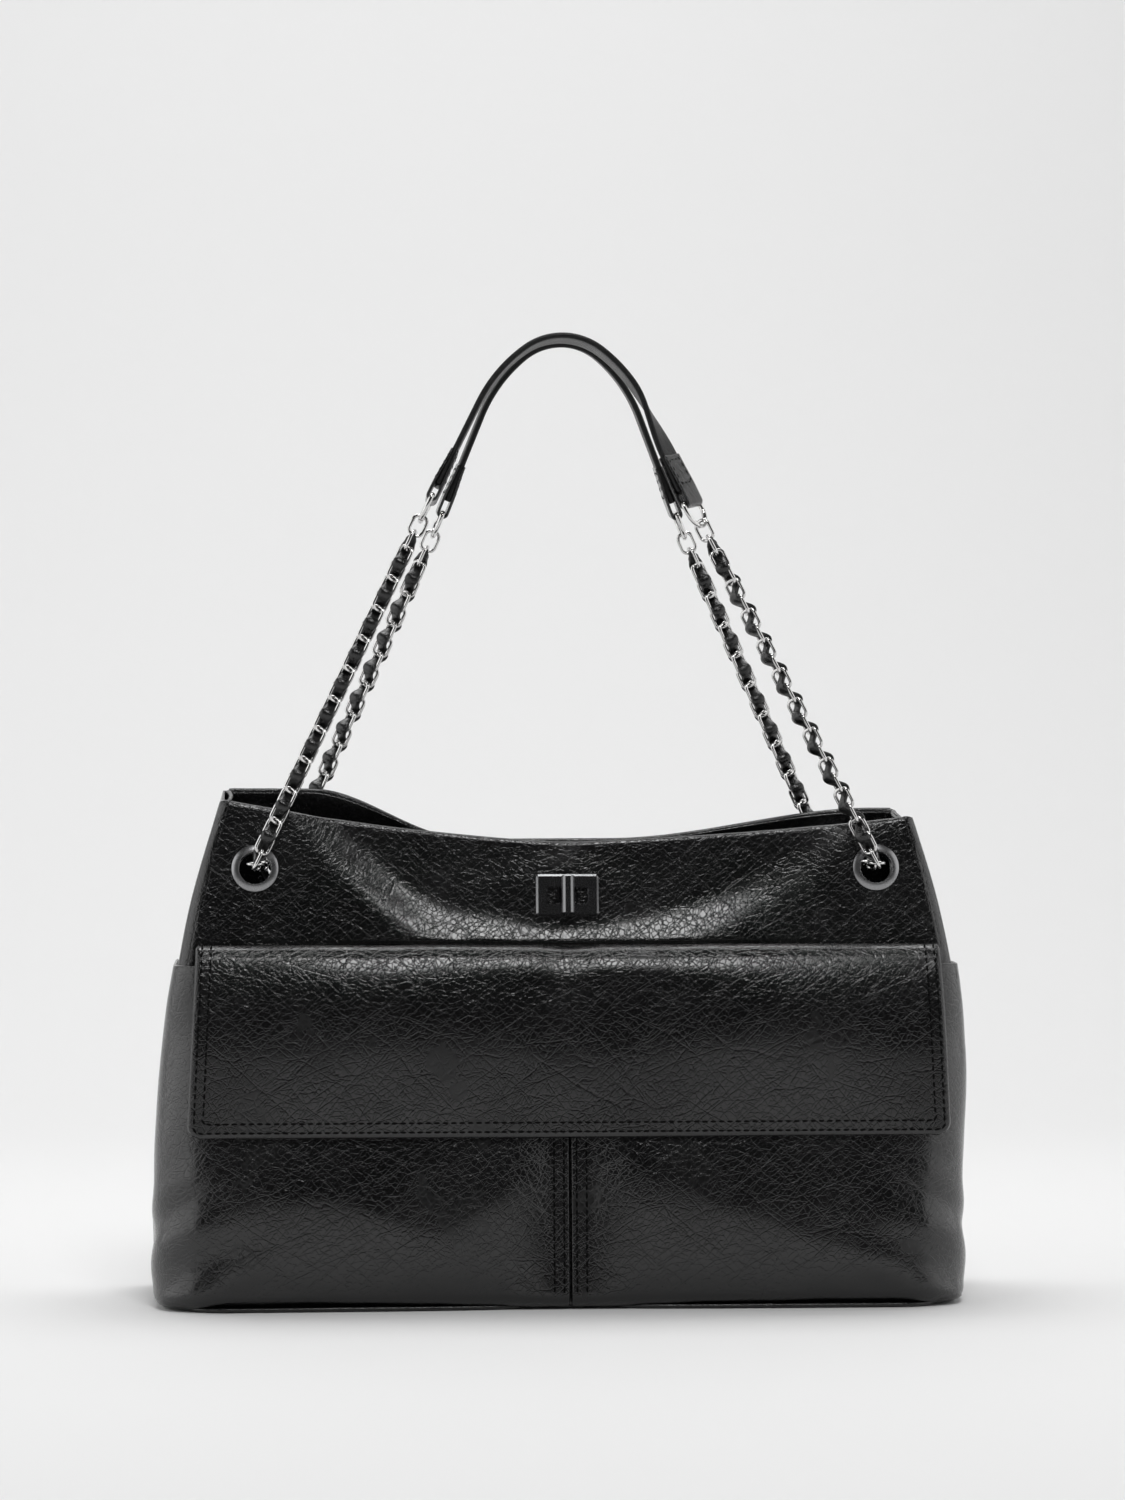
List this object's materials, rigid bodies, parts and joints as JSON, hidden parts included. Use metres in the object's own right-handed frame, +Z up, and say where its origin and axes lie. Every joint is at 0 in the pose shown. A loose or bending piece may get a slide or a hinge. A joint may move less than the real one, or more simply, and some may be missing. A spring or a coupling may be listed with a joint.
{
  "type": "chain shoulder bag",
  "caption": "Soft leather shoulder bag with a wrap-round flap pocket, a turn lock, eyelets and strap handles carried on leather-laced link chains.",
  "frame": {"origin": "on the floor under the middle of the base", "axes": "+Z up, +X to the right seen from the front, the front faces -Y"},
  "size_m": [0.42, 0.1266, 0.4953],
  "materials": {
    "body_leather": "crinkled gloss",
    "lace_leather": "gloss",
    "lining_fabric": "plain weave",
    "base_board": "matte",
    "eyelet_metal": "dark satin",
    "lock_metal": "dark satin",
    "chain_metal": "bright"
  },
  "bodies": {
    "bag": {"back_panel": "body_leather", "base_board": "base_board", "bottom_panel": "body_leather", "eyelet_back_left": "eyelet_metal", "eyelet_back_right": "eyelet_metal", "eyelet_front_left": "eyelet_metal", "eyelet_front_right": "eyelet_metal", "eyelet_washers": "eyelet_metal", "front_panel": "body_leather", "gusset_left": "body_leather", "gusset_right": "body_leather", "inner_chain_left": "chain_metal", "inner_chain_right": "chain_metal", "lining": "lining_fabric", "lock_back_plate": "lock_metal", "lock_frame": "lock_metal", "pocket_wrap_left": "body_leather", "pocket_wrap_right": "body_leather", "top_facing": "body_leather"},
    "lock_toggle": {"lock_toggle": "lock_metal", "lock_retainer": "lock_metal"},
    "pocket_flap": {"pocket_flap": "body_leather"},
    "front_chains": {"front_chain_left": "chain_metal", "front_chain_right": "chain_metal", "front_lace_left": "lace_leather", "front_lace_right": "lace_leather"},
    "front_strap": {"front_d_ring_left": "chain_metal", "front_d_ring_right": "chain_metal", "front_strap": "body_leather", "front_tab_left": "body_leather", "front_tab_right": "body_leather"},
    "rear_chains": {"rear_chain_left": "chain_metal", "rear_chain_right": "chain_metal", "rear_lace_left": "lace_leather", "rear_lace_right": "lace_leather"},
    "rear_strap": {"rear_d_ring_left": "chain_metal", "rear_d_ring_right": "chain_metal", "rear_strap": "body_leather", "rear_tab_left": "body_leather", "rear_tab_right": "body_leather"}
  },
  "joints": [
    {"name": "lock_turn", "type": "hinge", "parent": "bag", "child": "lock_toggle", "pos_m": [0, -0.03441, 0.207], "axis": [0, -0.992, 0.1259], "range_deg": [0, 90]},
    {"name": "flap_lift", "type": "hinge", "parent": "bag", "child": "pocket_flap", "pos_m": [0, -0.03962, 0.181], "axis": [1, 0, 0], "range_deg": [-85, 0]},
    {"name": "front_handle_swing", "type": "hinge", "parent": "bag", "child": "front_chains", "pos_m": [0, -0.03883, 0.22329], "axis": [1, 0, 0], "range_deg": [0, 120]},
    {"name": "front_strap_fold", "type": "hinge", "parent": "front_chains", "child": "front_strap", "pos_m": [-0.002, -0.02033, 0.39934], "axis": [0.9999, -0.0014, -0.0138], "range_deg": [0, 40]},
    {"name": "rear_handle_swing", "type": "hinge", "parent": "bag", "child": "rear_chains", "pos_m": [0, 0.03883, 0.22329], "axis": [1, 0, 0], "range_deg": [-120, 0]},
    {"name": "rear_strap_fold", "type": "hinge", "parent": "rear_chains", "child": "rear_strap", "pos_m": [-0.0005, 0.02085, 0.39435], "axis": [1, 0.0004, -0.0035], "range_deg": [-40, 0]}
  ]
}
